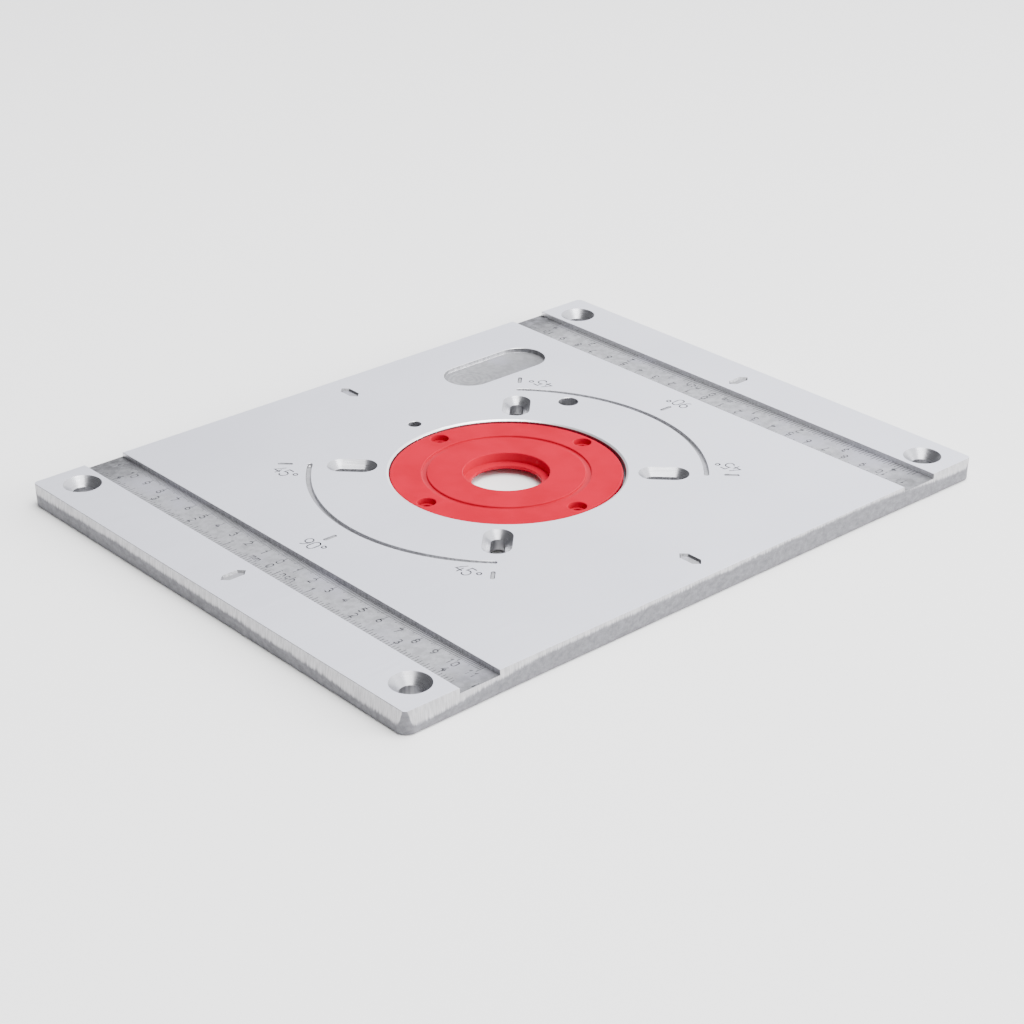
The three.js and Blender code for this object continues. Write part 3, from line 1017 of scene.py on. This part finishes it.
def cast_underside():
    surface = Surface("cast_underside", metallic=1.0, roughness=0.58)
    mottle = surface.remap(surface.noise(9, 5, roughness=0.6), 0.3, 0.7, 0, 1)
    surface.colour(surface.blend((0.38, 0.38, 0.405), (0.52, 0.52, 0.55), mottle))
    cast_relief(surface)
    return surface.material


def router_seat():
    return floor_finish("router_seat", (0.64, 0.64, 0.66), (0.55, 0.55, 0.57))


def line_finish(name, light, dark):
    """Engraved lines, painted dark for the shade that falls inside them."""
    surface = Surface(name, metallic=0.8, roughness=0.45)
    share = surface.remap(surface.noise(2.5, 3), 0.35, 0.65, 0, 1)
    # Painted shade: the dark colours stand in for the shade in the narrow engraved grooves.
    surface.colour(surface.blend(dark, light, share))
    surface.bump(surface.noise(0.3, 2), 0.01)
    return surface.material


def engraving():
    return line_finish("engraved_figure", (0.16, 0.16, 0.175), (0.03, 0.03, 0.034))


def graduation():
    return line_finish("engraved_graduation", (0.10, 0.10, 0.106), (0.04, 0.04, 0.043))


def red_plastic(name, shine, smoothest, roughest):
    """Moulded red plastic, slightly wavy, with light rub marks."""
    surface = Surface(name, metallic=0.0, roughness=0.25)
    cloud = surface.remap(surface.noise(14, 3), 0.3, 0.7, 0, 1)
    surface.colour(surface.blend((0.40, 0.001, 0.018), (0.45, 0.002, 0.022), cloud))
    rubs = surface.noise(2.5, 5, (1, 0.25, 1), 0.6)
    surface.roughness(surface.remap(rubs, 0.3, 0.75, smoothest, roughest))
    surface.bump(surface.noise(5, 2), 0.02)
    surface.bump(surface.noise(0.4, 2), 0.003)
    surface.shader.inputs["Specular IOR Level"].default_value = shine
    surface.shader.inputs["Specular Tint"].default_value = (1.0, 0.5, 0.55, 1)
    return surface.material


def ring_plastic():
    return red_plastic("red_plastic_gloss", 0.04, 0.12, 0.2)


def ring_top():
    """The flat top is rubbed, and duller than the edges."""
    return red_plastic("red_plastic_top", 0.006, 0.36, 0.5)


FINISHES = {
    make.__name__: make
    for make in (milled_face, edge, channel_floor, recess_floor, channel_wall, recess_wall,
                 groove_wall, machined_wall, bore_wall, seat_ledge, mark_floor, mark_wall,
                 turned_cone, plate_side, cast_underside, router_seat, engraving, graduation,
                 ring_plastic, ring_top)
}
made_materials = {}


def finish_material(finish):
    """The material of a finish, made once."""
    if finish not in made_materials:
        made_materials[finish] = FINISHES[finish]()
    return made_materials[finish]


# --- Studio ----------------------------------------------------------------------------------

# Metres, degrees and watts
CAMERA = {"azimuth": -41.665, "elevation": 26.744, "distance": 0.92557}
CAMERA_TARGET = (-0.011586, -0.01576, 0)
LENS = 81.54  # mm
FLOOR = {"spokes": 96, "radius": 7.0, "height": -0.0002}
SKY = {"colour": (0.955, 0.965, 1.0, 1), "bright_side": (0.92, -0.38, 0.1)}
SKY_FADE = (-0.35, 0.65)  # how far towards the bright side the sky starts and stops brightening
SKY_STRENGTH = (0.22, 2.8)  # before and after that
# Name, azimuth, elevation, distance, width, height and power
SOFTBOXES = (
    ("front_softbox", -28, 64, 2.2, 1.5, 1.0, 30),
    ("overhead_softbox", 60, 80, 2.2, 1.2, 1.2, 55),
    ("right_softbox", 42, 15, 2.0, 1.2, 0.8, 50),
)


def direction(azimuth, elevation):
    """The way from the object towards a point seen at an azimuth and elevation."""
    a, e = math.radians(azimuth), math.radians(elevation)
    return Vector((math.sin(a) * math.cos(e), -math.cos(a) * math.cos(e), math.sin(e)))


def make_camera():
    camera = bpy.data.objects.new("camera", bpy.data.cameras.new("camera"))
    camera.data.lens = LENS
    camera.data.clip_start = 0.01
    back = direction(CAMERA["azimuth"], CAMERA["elevation"])
    camera.location = Vector(CAMERA_TARGET) + back * CAMERA["distance"]
    camera.rotation_mode = "QUATERNION"
    camera.rotation_quaternion = (-back).to_track_quat("-Z", "Y")
    bpy.context.scene.collection.objects.link(camera)
    bpy.context.scene.camera = camera


def make_floor():
    """A broad, flat, pale floor."""
    spokes, reach = FLOOR["spokes"], FLOOR["radius"]
    angles = [2 * math.pi * spoke / spokes for spoke in range(spokes)]
    points = [(reach * math.cos(a), reach * math.sin(a), FLOOR["height"]) for a in angles]
    mesh = bpy.data.meshes.new("floor")
    mesh.from_pydata(points, [], [tuple(range(spokes))])
    surface = Surface("pale_floor", roughness=0.9)
    surface.colour(surface.blend((0.95, 0.945, 0.935), (0.97, 0.965, 0.955), surface.noise(300, 2)))
    mesh.materials.append(surface.material)
    floor = bpy.data.objects.new("floor", mesh)
    bpy.context.scene.collection.objects.link(floor)


def softbox(name, azimuth, elevation, distance, width, height, power):
    """A rectangular lamp that faces the origin."""
    light = bpy.data.lights.new(name, "AREA")
    light.shape = "RECTANGLE"
    light.size, light.size_y, light.energy = width, height, power
    lamp = bpy.data.objects.new(name, light)
    way = direction(azimuth, elevation)
    lamp.location = way * distance
    lamp.rotation_mode = "QUATERNION"
    lamp.rotation_quaternion = (-way).to_track_quat("-Z", "Y")
    bpy.context.scene.collection.objects.link(lamp)


def make_world():
    """A bright sky that falls off to a dark left side."""
    world = bpy.data.worlds.new("studio")
    world.use_nodes = True
    nodes, links = world.node_tree.nodes, world.node_tree.links
    background = nodes["Background"]
    place = nodes.new("ShaderNodeTexCoord")
    toward = nodes.new("ShaderNodeVectorMath")
    toward.operation = "DOT_PRODUCT"
    toward.inputs[1].default_value = Vector(SKY["bright_side"]).normalized()
    links.new(place.outputs["Generated"], toward.inputs[0])
    share = nodes.new("ShaderNodeMapRange")
    share.interpolation_type = "SMOOTHSTEP"
    links.new(toward.outputs["Value"], share.inputs["Value"])
    for socket, number in zip(share.inputs[1:5], SKY_FADE + SKY_STRENGTH):
        socket.default_value = number
    links.new(share.outputs[0], background.inputs["Strength"])
    background.inputs["Color"].default_value = SKY["colour"]
    bpy.context.scene.world = world


def make_studio():
    make_world()
    for box in SOFTBOXES:
        softbox(*box)


# --- Assembly --------------------------------------------------------------------------------

make_camera()
make_floor()
make_studio()

plate_body = make_plate()
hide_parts("plate")
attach(plate_body, "plate")

ring_body = make_ring()
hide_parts("insert_ring")
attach(ring_body, "insert_ring")
